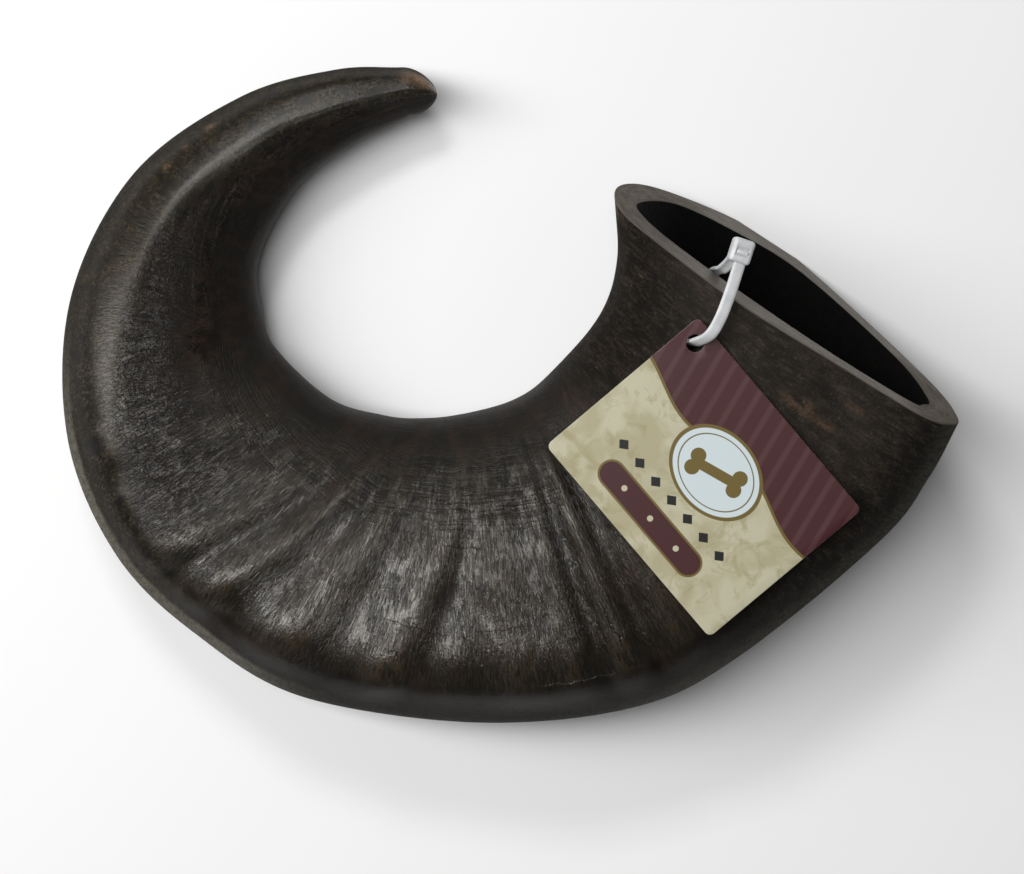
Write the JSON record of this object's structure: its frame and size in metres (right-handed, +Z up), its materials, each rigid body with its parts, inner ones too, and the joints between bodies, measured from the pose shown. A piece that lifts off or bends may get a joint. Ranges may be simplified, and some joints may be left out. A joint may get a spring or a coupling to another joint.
{
  "type": "buffalo horn dog chew",
  "caption": "Curved dark buffalo horn, hollow at its sawn base, with folds across its face and a card hang tag on a nylon tie; it lies on its flat back.",
  "frame": {"origin": "middle of the box's underside, on the surface that the horn lies on", "axes": "+X from the curl's middle towards the outer end of the sawn mouth, which is the box's long way; +Y towards the tip's side of the curl; +Z up, square to the flat back"},
  "size_m": [0.257, 0.1904, 0.0732],
  "materials": {
    "horn": "natural black-brown horn, worn satin, wrinkled",
    "printed_card": "coated printed card",
    "nylon": "white nylon, satin"
  },
  "bodies": {
    "root": {"horn": "horn", "hang_tag": "printed_card", "cable_tie": "nylon"}
  },
  "joints": []
}
